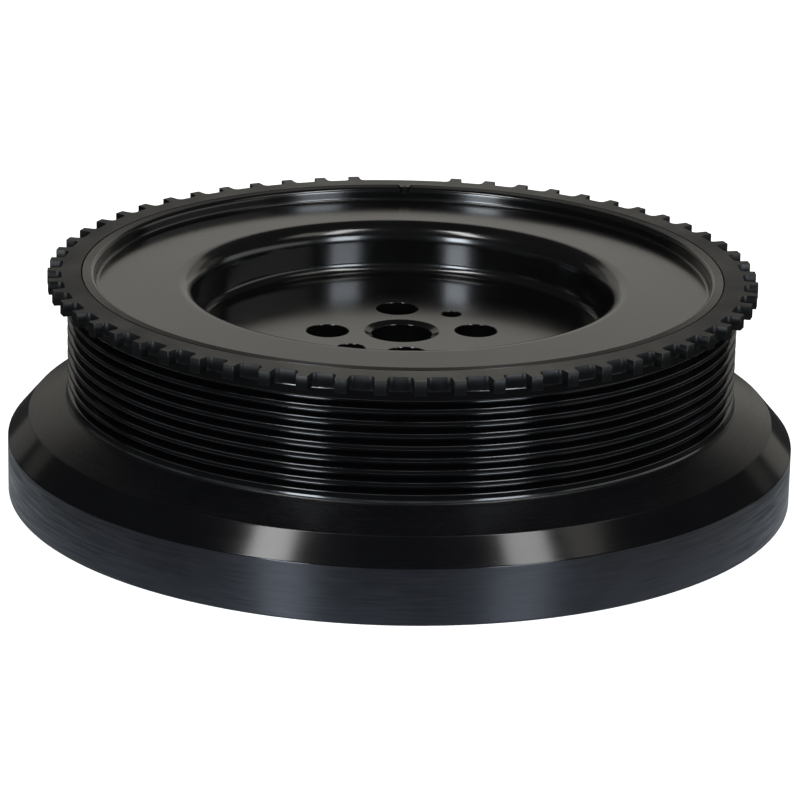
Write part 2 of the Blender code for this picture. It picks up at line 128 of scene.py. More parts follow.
# Chamber and cover
INNER_WALL = DISH_RADIUS + 4.6 * MM
SKIRT_CHAMBER = SKIRT_RADIUS - 7.5 * MM
NECK_CHAMBER = CREST_RADIUS - GROOVE_DEPTH - 5.4 * MM
SKIRT_CHAMBER_TOP = 18.0 * MM
CHAMBER_TOP = FACE_HEIGHT - 5.1 * MM
COVER_OUTER = cover_high.x
COVER_OUTER_SEAT = COVER_OUTER + SEAT_GAP
COVER_INNER_SEAT = INNER_WALL - 3.5 * MM
COVER_INNER = COVER_INNER_SEAT + SEAT_GAP
WELD_HALF = 1.2 * MM
WELD_DEPTH = 2.0 * MM
BEAD_CROWN = 0.35 * MM
BEAD_SCALES = 300                  # round the whole seam
SCALE_HEIGHT = 0.3 * BEAD_CROWN
SCALE_SWEEP = 2.0                  # how far a scale's middle trails its ends, in radians of one scale

# Filler plugs
PLUG_SINK = 0.3 * MM
PLUG_HEAD_RADIUS = 6.2 * MM
PLUG_HEAD_HEIGHT = 1.8 * MM
PLUG_STEM_RADIUS = 3.8 * MM
PLUG_HEX = 5.0 * MM
PLUG_HEX_DEPTH = 3.0 * MM
PLUG_SEAT = cover_low.z + PLUG_SINK + PLUG_HEAD_HEIGHT + 1.0 * MM
PLUG_END = cover_high.z - SEAT_GAP
THREAD_PITCH = 0.8 * MM
THREAD_DEPTH = 0.4 * MM

# Inertia ring, bushes and pads
FLUID_GAP = 0.8 * MM
RING_OVER_WALL = 2.0 * MM          # of the inertia ring's bore, outside the chamber's inner wall
BUSH_THICKNESS = 3.0 * MM
BUSH_SPLIT = 2.0 * MM
OIL_GROOVE = 1.0 * MM
DIMPLE = 0.5 * MM

# Small edges that a turned piece is given
FINE_EDGE = 0.2 * MM
PLAIN_EDGE = 0.3 * MM
BROAD_EDGE = 0.4 * MM
SHOULDER_EDGE = 0.5 * MM

# Making
PAST = 1.0 * MM                    # how far a cutting shape runs past what it cuts
LARGE = 240                        # segments of the pieces seen whole
HOUSING_STEPS = 168                # segments of the housing, whose profile has the most points
SMALL = 48
HOLD = 0.25 * MM                   # a loop this near a rounded edge keeps the flat beside it flat
WELD_TOGETHER = 1e-6

# ---- Shapes --------------------------------------------------------------------------------


def arc_points(before, corner, after, radius, step_degrees):
    """The arc of a radius that rounds a corner between two neighbours, as (r, z) points."""
    back = (before - corner).normalized()
    onward = (after - corner).normalized()
    half = back.angle(onward) / 2
    start = corner + back * radius / math.tan(half)
    end = corner + onward * radius / math.tan(half)
    centre = corner + (back + onward).normalized() * radius / math.sin(half)
    first = start - centre
    last = end - centre
    turn = math.atan2(first.x * last.y - first.y * last.x, first.dot(last))
    steps = max(2, math.ceil(abs(math.degrees(turn)) / step_degrees))
    points = []
    for number in range(steps + 1):
        angle = turn * number / steps
        across = first.x * math.cos(angle) - first.y * math.sin(angle)
        up = first.x * math.sin(angle) + first.y * math.cos(angle)
        points.append(centre + Vector((across, up)))
    return points


def rounded(corners, closed=True, step_degrees=11.0):
    """A profile through (r, z, radius) corners, each rounded, with holding points beside the arcs."""
    flat = [Vector(corner[:2]) for corner in corners]
    count = len(corners)
    runs = []
    for i, corner in enumerate(corners):
        at_end = not closed and i in (0, count - 1)
        if corner[2] > 0 and not at_end:
            runs.append(arc_points(flat[i - 1], flat[i], flat[(i + 1) % count], corner[2], step_degrees))
        else:
            runs.append([flat[i]])
    points = []
    for i, run in enumerate(runs):
        points += run
        if i + 1 == count and not closed:
            break
        following = runs[(i + 1) % count]
        gap = following[0] - run[-1]
        if gap.length > 4 * HOLD:
            if len(run) > 1:
                points.append(run[-1] + gap.normalized() * HOLD)
            if len(following) > 1:
                points.append(following[0] - gap.normalized() * HOLD)
    return points


def spun(points, segments, closed=True):
    """A bmesh turned about Z from (r, z) points."""
    shape = bmesh.new()
    corners = [shape.verts.new((point[0], 0.0, point[1])) for point in points]
    pairs = list(zip(corners, corners[1:]))
    if closed:
        pairs.append((corners[-1], corners[0]))
    edges = [shape.edges.new(pair) for pair in pairs]
    bmesh.ops.spin(
        shape,
        geom=corners + edges,
        cent=(0.0, 0.0, 0.0),
        axis=(0.0, 0.0, 1.0),
        angle=2 * math.pi,
        steps=segments,
        use_merge=True,
        use_duplicate=False,
    )
    bmesh.ops.remove_doubles(shape, verts=shape.verts, dist=WELD_TOGETHER)
    bmesh.ops.recalc_face_normals(shape, faces=shape.faces)
    return shape


def piece_from(name, shape, sharp_degrees=35.0):
    """An object in its place, shaded smooth with its corners kept sharp and its flats kept flat."""
    mesh = bpy.data.meshes.new(name)
    shape.to_mesh(mesh)
    shape.free()
    piece = bpy.data.objects.new(name, mesh)
    bpy.context.scene.collection.objects.link(piece)
    shade(piece, sharp_degrees)
    return piece


def shade(piece, sharp_degrees=35.0):
    piece.data.shade_smooth()
    piece.data.set_sharp_from_angle(angle=math.radians(sharp_degrees))
    for polygon in piece.data.polygons:
        if abs(polygon.normal.z) > 0.99999:
            polygon.use_smooth = False


def turned(name, corners, segments=LARGE, closed=True, at=(0.0, 0.0)):
    shape = spun(rounded(corners, closed), segments, closed)
    bmesh.ops.translate(shape, verts=shape.verts, vec=(at[0], at[1], 0.0))
    return piece_from(name, shape)


def stand_in(piece, body, node):
    """Puts a piece in place of its plain solid."""
    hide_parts(node)
    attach(piece, body)


def dress(piece, finish, body, node):
    """Gives a piece its finish and puts it in place of its plain solid."""
    piece.data.materials.clear()
    piece.data.materials.append(finish)
    stand_in(piece, body, node)


def polar(radius, degrees):
    angle = math.radians(degrees)
    return (radius * math.cos(angle), radius * math.sin(angle))


def joined(shapes):
    """Several bmeshes as one."""
    whole = bmesh.new()
    for shape in shapes:
        mesh = bpy.data.meshes.new("part")
        shape.to_mesh(mesh)
        shape.free()
        whole.from_mesh(mesh)
        bpy.data.meshes.remove(mesh)
    return whole


def cut(piece, shape):
    """Takes a bmesh away from a piece."""
    tool = piece_from(piece.name + "_tool", shape)
    boolean = piece.modifiers.new("cut", "BOOLEAN")
    boolean.operation = "DIFFERENCE"
    boolean.solver = "EXACT"
    boolean.object = tool
    depsgraph = bpy.context.evaluated_depsgraph_get()
    old = piece.data
    piece.data = bpy.data.meshes.new_from_object(piece.evaluated_get(depsgraph))
    piece.modifiers.clear()
    bpy.data.meshes.remove(old)
    bpy.data.objects.remove(tool)
    shade(piece)


def hole_tool(
    radius, low, high, at, low_chamfer=0.0, high_chamfer=0.0, blind=False, upward=False, segments=SMALL
):
    """A drill with a countersink at either end. It stops at high if blind, and at low if upward."""
    top = high if blind else high + PAST
    bottom = low if upward else low - PAST
    points = [(0.0, top)]
    if high_chamfer > 0:
        points += [(radius + high_chamfer + PAST, top), (radius, high - high_chamfer)]
    else:
        points.append((radius, top))
    if low_chamfer > 0:
        points += [(radius, low + low_chamfer), (radius + low_chamfer + PAST, bottom)]
    else:
        points.append((radius, bottom))
    points.append((0.0, bottom))
    shape = spun(points, segments, closed=False)
    bmesh.ops.translate(shape, verts=shape.verts, vec=(at[0], at[1], 0.0))
    return shape


def plate(outline, low, high):
    """An upright plate of a flat outline of (x, y) points."""
    shape = bmesh.new()
    face = shape.faces.new([shape.verts.new((x, y, low)) for x, y in outline])
    pushed = bmesh.ops.extrude_face_region(shape, geom=[face])["geom"]
    tops = [item for item in pushed if isinstance(item, bmesh.types.BMVert)]
    bmesh.ops.translate(shape, verts=tops, vec=(0.0, 0.0, high - low))
    bmesh.ops.recalc_face_normals(shape, faces=shape.faces)
    return shape


# ---- Finishes ------------------------------------------------------------------------------


class Finish:
    """A material's node tree, with the few nodes that the finishes here are made of."""

    def __init__(self, name, colour, metallic, roughness, **settings):
        self.material = bpy.data.materials.new(name)
        self.material.use_nodes = True
        self.nodes = self.material.node_tree.nodes
        self.links = self.material.node_tree.links
        self.shader = self.nodes["Principled BSDF"]
        self.shader.inputs["Base Color"].default_value = (*colour, 1.0)
        self.shader.inputs["Metallic"].default_value = metallic
        self.shader.inputs["Roughness"].default_value = roughness
        for socket, value in settings.items():
            self.shader.inputs[socket.replace("_", " ")].default_value = value
        self.place = self.nodes.new("ShaderNodeTexCoord").outputs["Object"]

    def math(self, operation, first, second=0.0):
        node = self.nodes.new("ShaderNodeMath")
        node.operation = operation
        for socket, value in zip(node.inputs, (first, second)):
            if isinstance(value, (int, float)):
                socket.default_value = value
            else:
                self.links.new(value, socket)
        return node.outputs[0]

    def tilt(self):
        """How far the surface leans from upright: 0 on a wall, 1 on a flat top."""
        parts = self.nodes.new("ShaderNodeSeparateXYZ")
        self.links.new(self.nodes.new("ShaderNodeTexCoord").outputs["Normal"], parts.inputs[0])
        return self.math("ABSOLUTE", parts.outputs[2])

    def drawn_out(self, amount, rotation):
        """Stretches highlights: along the lathe's lines at rotation 0, across them at 0.25."""
        self.shader.inputs["Anisotropic"].default_value = amount
        self.shader.inputs["Anisotropic Rotation"].default_value = rotation
        round_axis = self.nodes.new("ShaderNodeTangent")
        round_axis.direction_type = "RADIAL"
        round_axis.axis = "Z"
        self.into("Tangent", round_axis.outputs[0])

    def from_axis(self):
        """The distance from the shaft axis."""
        parts = self.nodes.new("ShaderNodeSeparateXYZ")
        self.links.new(self.place, parts.inputs[0])
        x, y, _ = parts.outputs
        return self.math("SQRT", self.math("ADD", self.math("MULTIPLY", x, x), self.math("MULTIPLY", y, y)))

    def stretched(self, along, radial, upward):
        """Coordinates round the axis: angle, distance from it and height, each with its own scale."""
        parts = self.nodes.new("ShaderNodeSeparateXYZ")
        self.links.new(self.place, parts.inputs[0])
        x, y, z = parts.outputs
        distance = self.from_axis()
        angle = self.math("ARCTAN2", y, x)
        joined_up = self.nodes.new("ShaderNodeCombineXYZ")
        scaled = (self.math("MULTIPLY", angle, along), self.math("MULTIPLY", distance, radial),
                  self.math("MULTIPLY", z, upward))
        for value, socket in zip(scaled, joined_up.inputs):
            self.links.new(value, socket)
        return joined_up.outputs[0]

    def noise(self, place, scale, detail=3.0, roughness=0.5):
        node = self.nodes.new("ShaderNodeTexNoise")
        node.inputs["Scale"].default_value = scale
        node.inputs["Detail"].default_value = detail
        node.inputs["Roughness"].default_value = roughness
        self.links.new(place, node.inputs["Vector"])
        return node.outputs["Fac"]

    def ranged(self, value, low, high, out_low, out_high):
        node = self.nodes.new("ShaderNodeMapRange")
        self.links.new(value, node.inputs["Value"])
        limits = {"From Min": low, "From Max": high, "To Min": out_low, "To Max": out_high}
        for socket, number in limits.items():
            node.inputs[socket].default_value = number
        return node.outputs["Result"]

    def blended(self, value, first, second):
        node = self.nodes.new("ShaderNodeMix")
        node.data_type = "RGBA"
        self.links.new(value, node.inputs[0])
        node.inputs[6].default_value = (*first, 1.0)
        node.inputs[7].default_value = (*second, 1.0)
        return node.outputs[2]

    def into(self, socket, value):
        self.links.new(value, self.shader.inputs[socket])

    def bumped(self, height, depth):
        node = self.nodes.new("ShaderNodeBump")
        node.inputs["Strength"].default_value = 1.0
        node.inputs["Distance"].default_value = depth
        self.links.new(height, node.inputs["Height"])
        self.into("Normal", node.outputs["Normal"])


def lathe_lines(finish, pitch, length):
    """Fine lines left by the turning tool, running round the axis, of a pitch and a usual length."""
    return finish.noise(finish.stretched(SKIRT_RADIUS / length, 1 / pitch, 1 / pitch), 1.0, detail=2.0)


def black_coat(
    name, dark, pale, rough_low, rough_high, line_depth, pitch=0.3 * MM, length=25 * MM, **settings
):
    """Thin black coating over turned steel: the tool lines and a slow mottle show through it."""
    finish = Finish(name, dark, 0.0, rough_low, **settings)
    tool_lines = lathe_lines(finish, pitch, length)
    mottle = finish.noise(finish.place, 45.0, detail=4.0, roughness=0.6)
    both = finish.math("ADD", finish.math("MULTIPLY", tool_lines, 0.5), finish.math("MULTIPLY", mottle, 0.5))
    finish.into("Base Color", finish.blended(finish.ranged(both, 0.35, 0.65, 0.0, 1.0), dark, pale))
    finish.into("Roughness", finish.ranged(both, 0.35, 0.65, rough_low, rough_high))
    finish.bumped(tool_lines, line_depth)
    return finish


def face_black():
    return black_coat("face_black", (0.0035,) * 3, (0.005,) * 3, 0.15, 0.20, 0.0004 * MM, IOR=1.7).material


def lip_black():
    finish = black_coat("lip_black", (0.0035,) * 3, (0.005,) * 3, 0.38, 0.46, 0.001 * MM, IOR=1.6)
    finish.drawn_out(0.9, 0.25)
    return finish.material


def dish_black():
    return black_coat("dish_black", (0.003,) * 3, (0.005,) * 3, 0.14, 0.18, 0.0003 * MM, IOR=1.8).material


def groove_black():
    """The belt grooves, with the coating rubbed thin along the edges of the crests."""
    finish = black_coat(
        "groove_black", (0.002, 0.002, 0.0025), (0.004, 0.004, 0.005), 0.10, 0.15, 0.0002 * MM, IOR=1.7
    )
    lean = finish.tilt()
    on_edge = finish.math(
        "MULTIPLY", finish.ranged(lean, 0.15, 0.35, 0.0, 1.0), finish.ranged(lean, 0.8, 0.93, 1.0, 0.0)
    )
    outside = finish.ranged(finish.from_axis(), CREST_RADIUS - 0.6 * MM, CREST_RADIUS - 0.5 * MM, 0.0, 1.0)
    patches = finish.ranged(finish.noise(finish.place, 60.0, detail=4.0), 0.35, 0.65, 0.0, 0.12)
    worn = finish.math("MULTIPLY", finish.math("MULTIPLY", on_edge, outside), patches)
    finish.into("Metallic", worn)
    finish.into("Base Color", finish.blended(worn, (0.003, 0.003, 0.0035), (0.42, 0.43, 0.45)))
    return finish.material


def neck_black():
    return black_coat(
        "neck_black", (0.003, 0.003, 0.0035), (0.005, 0.005, 0.006), 0.24, 0.30, 0.0003 * MM
    ).material


def shoulder_black():
    return black_coat(
        "shoulder_black", (0.003, 0.003, 0.0035), (0.005, 0.005, 0.006), 0.11, 0.15, 0.0003 * MM
    ).material


def skirt_black():
    """The straight side was left as it came off the lathe, so its lines draw every highlight out upward."""
    finish = black_coat(
        "skirt_black", (0.003, 0.0032, 0.004), (0.016, 0.0165, 0.021), 0.34, 0.42, 0.008 * MM,
        pitch=0.5 * MM, length=14 * MM, IOR=1.58, Specular_Tint=(0.86, 0.9, 1.0, 1.0),
    )
    height = finish.nodes.new("ShaderNodeSeparateXYZ")
    finish.links.new(finish.place, height.inputs[0])
    coarser_high = finish.ranged(height.outputs[2], 2 * MM, 15 * MM, 0.35, 0.42)
    streaks = finish.noise(finish.stretched(7.0, 1800.0, 1800.0), 1.0, detail=2.0)
    streaked = finish.ranged(streaks, 0.35, 0.65, -0.08, 0.08)
    finish.into("Roughness", finish.math("ADD", coarser_high, streaked))
    finish.drawn_out(0.93, 0.25)
    return finish.material


def tone_black():
    """Coating on a blanked plate: no tool lines, but a fine grain."""
    finish = Finish("tone_ring_black", (0.004, 0.004, 0.004), 0.0, 0.4)
    grain = finish.noise(finish.place, 900.0, detail=2.0)
    mottle = finish.noise(finish.place, 60.0, detail=3.0)
    finish.into("Base Color", finish.blended(mottle, (0.003, 0.003, 0.003), (0.006, 0.006, 0.006)))
    finish.into("Roughness", finish.ranged(mottle, 0.3, 0.7, 0.34, 0.44))
    finish.drawn_out(0.6, 0.0)
    finish.bumped(grain, 0.002 * MM)
    return finish.material


def turned_steel(name, colour, pitch=0.5 * MM, rough=(0.25, 0.4), depth=0.004 * MM):
    finish = Finish(name, colour, 1.0, rough[0])
    lines = lathe_lines(finish, pitch, 40 * MM)
    stain = finish.noise(finish.place, 30.0, detail=4.0)
    dark = tuple(0.72 * part for part in colour)
    finish.into("Base Color", finish.blended(finish.ranged(stain, 0.35, 0.7, 0.0, 1.0), colour, dark))
    finish.into("Roughness", finish.ranged(lines, 0.3, 0.7, *rough))
    finish.bumped(lines, depth)
    return finish.material


def weld_steel():
    """Bead with heat tint from straw to blue across its scales."""
    finish = Finish("weld_steel", (0.35, 0.34, 0.33), 1.0, 0.35)
    tint = finish.noise(finish.place, 120.0, detail=3.0)
    straw_to_blue = finish.ranged(tint, 0.35, 0.65, 0.0, 1.0)
    finish.into("Base Color", finish.blended(straw_to_blue, (0.30, 0.26, 0.22), (0.19, 0.2, 0.24)))
    finish.into("Roughness", finish.ranged(tint, 0.3, 0.7, 0.28, 0.5))
    finish.bumped(finish.noise(finish.place, 700.0), 0.02 * MM)
    return finish.material


def plated_steel():
    finish = Finish("plug_steel", (0.36, 0.36, 0.35), 1.0, 0.3)
    cloud = finish.noise(finish.place, 400.0, detail=3.0)
    finish.into("Base Color", finish.blended(cloud, (0.42, 0.42, 0.4), (0.28, 0.28, 0.29)))
    finish.into("Roughness", finish.ranged(cloud, 0.3, 0.7, 0.24, 0.42))
    finish.bumped(finish.noise(finish.place, 1500.0), 0.005 * MM)
    return finish.material


def bearing_plastic():
    finish = Finish("pad_plastic", (0.72, 0.69, 0.6), 0.0, 0.5)
    speck = finish.noise(finish.place, 1200.0, detail=2.0)
    specks = finish.ranged(speck, 0.4, 0.6, 0.0, 1.0)
    finish.into("Base Color", finish.blended(specks, (0.74, 0.71, 0.62), (0.6, 0.57, 0.5)))
    finish.into("Roughness", finish.ranged(speck, 0.3, 0.7, 0.42, 0.58))
    finish.bumped(speck, 0.01 * MM)
    return finish.material


# ---- Housing -------------------------------------------------------------------------------


def housing_corners():
    """The housing's section, from the top of the lip down the outside, and back up through the bore."""
    root = CREST_RADIUS - GROOVE_DEPTH
    corners = [
        (SPIGOT_RADIUS, TOP, FINE_EDGE),
        (SPIGOT_RADIUS, RING_SEAT, 0.0),
        (CREST_RADIUS, RING_SEAT, UPPER_EDGE),
    ]
    for number in range(GROOVE_COUNT):
        high = GROOVES_HIGH - number * GROOVE_PITCH
        corners += [
            (CREST_RADIUS, high, CREST_EDGE),
            (root, high - GROOVE_FLANK, CREST_EDGE),
            (root, high - GROOVE_FLANK - GROOVE_FLOOR, CREST_EDGE),
            (CREST_RADIUS, high - GROOVE_MOUTH, CREST_EDGE),
        ]
    outside = [
        (CREST_RADIUS, FOOT_HEIGHT, FOOT_FILLET),
        (SKIRT_RADIUS - SHOULDER_RUN, SHOULDER_TOP, SHOULDER_EDGE),
        (SKIRT_RADIUS, SKIRT_HEIGHT, SHOULDER_EDGE),
        (SKIRT_RADIUS, 0.0, 0.7 * MM),
    ]
    chamber = [
        (COVER_OUTER_SEAT + WELD_HALF, 0.0, FINE_EDGE),
        (COVER_OUTER_SEAT + WELD_HALF, cover_low.z, 0.0),
        (COVER_OUTER_SEAT, cover_low.z + WELD_DEPTH, 0.0),
        (COVER_OUTER_SEAT, cover_high.z, 0.0),
        (SKIRT_CHAMBER, cover_high.z, 0.0),
        (SKIRT_CHAMBER, SKIRT_CHAMBER_TOP, 1.0 * MM),
        (NECK_CHAMBER, SKIRT_CHAMBER_TOP, SHOULDER_EDGE),
        (NECK_CHAMBER, CHAMBER_TOP, 1.0 * MM),
        (INNER_WALL, CHAMBER_TOP, 1.0 * MM),
        (INNER_WALL, cover_high.z, 0.0),
        (COVER_INNER_SEAT, cover_high.z, 0.0),
        (COVER_INNER_SEAT, cover_low.z + WELD_DEPTH, 0.0),
        (COVER_INNER_SEAT - WELD_HALF, cover_low.z, 0.0),
        (COVER_INNER_SEAT - WELD_HALF, 0.0, FINE_EDGE),
    ]
    back_and_bore = [
        (RECESS_RADIUS, 0.0, 0.8 * MM),
        (RECESS_RADIUS, WEB_BACK, 3.0 * MM),
        (BOSS_RADIUS, WEB_BACK, 1.0 * MM),
        (BOSS_RADIUS, BOSS_FACE, 0.6 * MM),
        (PILOT_RADIUS, BOSS_FACE, BROAD_EDGE),
        (PILOT_RADIUS, DISH_FLOOR - PILOT_SINK_DEPTH, PLAIN_EDGE),
        (PILOT_RADIUS + PILOT_SINK_WIDTH, DISH_FLOOR, PLAIN_EDGE),
    ]
    front = [
        (DISH_RADIUS, DISH_FLOOR, DISH_FILLET),
        (DISH_RADIUS, FACE_HEIGHT, DISH_ROUND),
        (LIP_WALL_RADIUS, FACE_HEIGHT - FACE_FALL, LIP_FILLET),
        (LIP_WALL_RADIUS, TOP, LIP_ROUND),
    ]
    return corners + outside + chamber + back_and_bore + front


def notch_outline():
    """The notch at +Y that the tone ring's tab sits in, narrowing towards the lip's inner wall."""
    inner = LIP_WALL_RADIUS - PAST
    outer = CREST_RADIUS - 2 * UPPER_EDGE
    right = [(NOTCH_TIP_HALF, inner), (NOTCH_HALF, RING_BORE), (NOTCH_HALF, outer)]
    return right + [(-x, y) for x, y in reversed(right)]


def seat_outline():
    """The deep part of the notch, round the tab."""
    tip = RING_BORE - TAB_REACH - SEAT_GAP
    outer = CREST_RADIUS - 2 * UPPER_EDGE
    right = [(TAB_TIP_HALF + SEAT_GAP, tip), (NOTCH_HALF, RING_BORE), (NOTCH_HALF, outer)]
    return right + [(-x, y) for x, y in reversed(right)]


def make_housing():
    housing = turned("housing_body", housing_corners(), HOUSING_STEPS)
    tools = []
    for radius, distance, degrees in BOLT_HOLES + SMALL_HOLES:
        at = polar(distance, degrees)
        tools.append(hole_tool(radius, BOSS_FACE, DISH_FLOOR, at, HOLE_CHAMFER, HOLE_CHAMFER))
    cut(housing, joined(tools))
    cut(housing, plate(notch_outline(), TOP - NOTCH_DEPTH, TOP + PAST))
    cut(housing, plate(seat_outline(), RING_SEAT, TOP + PAST))
    finishes = {
        "face": face_black(),
        "dish": dish_black(),
        "grooves": groove_black(),
        "neck": neck_black(),
        "shoulder": shoulder_black(),
        "skirt": skirt_black(),
        "lip": lip_black(),
    }
    for finish in finishes.values():
        housing.data.materials.append(finish)
    order = list(finishes)
    for polygon in housing.data.polygons:
        polygon.material_index = order.index(housing_region(polygon.center))
    stand_in(housing, "housing", "damper_housing")


def housing_region(place):
    """Which part of the housing a spot is on. The small allowances keep a rounded edge in one part."""
    distance = math.hypot(place.x, place.y)
    if place.z > TOP - 0.05 * MM:
        return "lip"
    if distance < CREST_RADIUS - GROOVE_DEPTH - 0.5 * MM or place.z >= RING_SEAT:
        in_dish = WEB_BACK < place.z < FACE_HEIGHT - 0.3 * MM and distance < DISH_RADIUS + DISH_ROUND
        on_lip = LIP_WALL_RADIUS - LIP_FILLET < distance and place.z > FACE_HEIGHT + 0.05 * MM
        return "dish" if in_dish or on_lip else "face"
    if distance < CREST_RADIUS + 0.2 * MM:
        return "grooves"
    if place.z > SHOULDER_TOP - 0.1 * MM:
        return "neck"
    if place.z > SKIRT_HEIGHT - 0.1 * MM:
        return "shoulder"
    return "skirt"


# ---- Tone ring -----------------------------------------------------------------------------


def tooth_points(middle):
    """One tooth's side, tip and other side, with round roots, as (x, y) points."""
    corners = [
        (-TOOTH_BASE_HALF - TOOTH_FILLET * 1.6, TOOTH_ROOT_RADIUS, 0.0),
        (-TOOTH_BASE_HALF, TOOTH_ROOT_RADIUS, TOOTH_FILLET),
        (-TOOTH_TIP_HALF, TOOTH_TIP_RADIUS, TOOTH_TIP_ROUND),
        (TOOTH_TIP_HALF, TOOTH_TIP_RADIUS, TOOTH_TIP_ROUND),
        (TOOTH_BASE_HALF, TOOTH_ROOT_RADIUS, TOOTH_FILLET),
        (TOOTH_BASE_HALF + TOOTH_FILLET * 1.6, TOOTH_ROOT_RADIUS, 0.0),
    ]
    turn = Matrix.Rotation(middle - math.pi / 2, 2)
    profile = rounded(corners, closed=False, step_degrees=18.0)
    return [turn @ point for point in profile]


def tone_outline():
    """The ring's outside: its teeth in turn, and the bare root where two are left out, at +Y."""
    pitch = 2 * math.pi / TOOTH_PLACES
    points = []
    for number in range(TOOTH_PLACES - TEETH_MISSING):
        middle = math.pi / 2 - pitch * (number + (TEETH_MISSING + 1) / 2)
        points += tooth_points(middle)
        points.append(polar(TOOTH_ROOT_RADIUS, math.degrees(middle - pitch / 2)))
    for step in range(8):
        points.append(polar(TOOTH_ROOT_RADIUS, 90 + 6 - 1.5 * step))
    return points


def bore_outline():
    """The round bore, drawn in round the locating tab at +Y."""
    edge = math.degrees(math.asin(TAB_HALF / RING_BORE))
    span = 360 - 2 * edge
    points = [polar(RING_BORE, 90 + edge + span * step / LARGE) for step in range(LARGE + 1)]
    tip = RING_BORE - TAB_REACH
    return points + [(TAB_TIP_HALF, tip), (-TAB_TIP_HALF, tip)]


def make_tone_ring():
    body = plate([tuple(point) for point in tone_outline()], RING_SEAT, TOP)
    edges = [edge for edge in body.edges if abs(edge.verts[0].co.z - edge.verts[1].co.z) < WELD_TOGETHER]
    bmesh.ops.bevel(
        body,
        geom=edges,
        offset=RING_EDGE,
        affect="EDGES",
        segments=2,
        profile=0.5,
        material=-1,
        clamp_overlap=True,
    )
    ring = piece_from("toothed_ring", body, 30.0)
    cut(ring, plate(bore_outline(), RING_SEAT - PAST, TOP + PAST))
    dot_place = (0.0, RING_BORE - TAB_REACH + PUNCH_FROM_TIP)
    dot = hole_tool(PUNCH_RADIUS, TOP - 0.5 * MM, TOP, dot_place, segments=16)
    bmesh.ops.translate(dot, verts=dot.verts, vec=(0.0, 0.0, PUNCH_LIFT))
    cut(ring, dot)
    dress(ring, tone_black(), "housing", "tone_ring")


# ---- Cover, welds and plugs ----------------------------------------------------------------


def plug_places():
    """Each filler plug's number and place."""
    distance = (COVER_OUTER + COVER_INNER) / 2
    return [(number + 1, polar(distance, 45 + 180 * number)) for number in range(2)]


def make_cover(finish):
    """The ring that closes the chamber, with its weld grooves and plug holes."""
    low, high = cover_low.z, cover_high.z
    cover = turned("cover_plate", [
        (COVER_OUTER, high, PLAIN_EDGE),
        (COVER_OUTER, low + WELD_DEPTH, 0.0),
        (COVER_OUTER - WELD_HALF, low, FINE_EDGE),
        (COVER_INNER + WELD_HALF, low, FINE_EDGE),
        (COVER_INNER, low + WELD_DEPTH, 0.0),
        (COVER_INNER, high, PLAIN_EDGE),
    ])
    head = PLUG_HEAD_RADIUS + SEAT_GAP
    stem = PLUG_STEM_RADIUS + SEAT_GAP
    for _, at in plug_places():
        cut(cover, hole_tool(head, low, PLUG_SEAT, at, low_chamfer=PLAIN_EDGE, blind=True))
        cut(cover, hole_tool(stem, PLUG_SEAT, high, at))
    dress(cover, finish, "housing", "chamber_cover")


def make_weld(node, seam, finish):
    """A closing weld with a low crown and the scales of its bead."""
    low = cover_low.z
    half = WELD_HALF - SEAT_GAP
    angles = [math.pi * step / 8 for step in range(9)]
    crown = [(seam + half * math.cos(angle), low - BEAD_CROWN * math.sin(angle)) for angle in angles]
    shape = spun(crown + [(seam, low + WELD_DEPTH - 2 * SEAT_GAP)], BEAD_SCALES * 4)
    for vert in shape.verts:
        across = (math.hypot(vert.co.x, vert.co.y) - seam) / half
        if vert.co.z < low and abs(across) < 0.97:
            turn = math.atan2(vert.co.y, vert.co.x) * BEAD_SCALES - SCALE_SWEEP * (1 - across * across)
            vert.co.z += SCALE_HEIGHT * math.cos(turn)
    weld = piece_from(node + "_bead", shape, 80.0)
    dress(weld, finish, "housing", node)


def make_plug(number, at, plug_finish, washer_finish):
    """A socket-head plug with its thread, on its copper washer."""
    head_low = cover_low.z + PLUG_SINK
    head_high = head_low + PLUG_HEAD_HEIGHT
    thread = [(PLUG_STEM_RADIUS - THREAD_DEPTH, head_high, 0.0)]
    turns = int((PLUG_END - head_high - THREAD_PITCH) / THREAD_PITCH)
    for turn in range(turns):
        low = head_high + (turn + 0.5) * THREAD_PITCH
        thread.append((PLUG_STEM_RADIUS - THREAD_DEPTH, low, 0.0))
        thread.append((PLUG_STEM_RADIUS, low + THREAD_PITCH / 2, 0.0))
    head = [
        (0.0, head_low, 0.0),
        (PLUG_HEAD_RADIUS, head_low, BROAD_EDGE),
        (PLUG_HEAD_RADIUS, head_high, FINE_EDGE),
    ]
    end = [(PLUG_STEM_RADIUS - THREAD_DEPTH, PLUG_END, FINE_EDGE), (0.0, PLUG_END, 0.0)]
    plug = turned(f"plug_{number}", head + thread + end, SMALL, closed=False, at=at)
    corners = [polar(PLUG_HEX / math.sqrt(3), 60 * side) for side in range(6)]
    socket = [(at[0] + x, at[1] + y) for x, y in corners]
    cut(plug, plate(socket, head_low - PAST, head_low + PLUG_HEX_DEPTH))
    dress(plug, plug_finish, "housing", f"filler_plug_{number}")
    washer = turned(f"washer_{number}", [
        (PLUG_HEAD_RADIUS, PLUG_SEAT, FINE_EDGE),
        (PLUG_HEAD_RADIUS, head_high, FINE_EDGE),
        (PLUG_STEM_RADIUS + SEAT_GAP, head_high, FINE_EDGE),
        (PLUG_STEM_RADIUS + SEAT_GAP, PLUG_SEAT, FINE_EDGE),
    ], SMALL, at=at)
    dress(washer, washer_finish, "housing", f"plug_washer_{number}")


# ---- Inertia ring, bushes and pads ---------------------------------------------------------


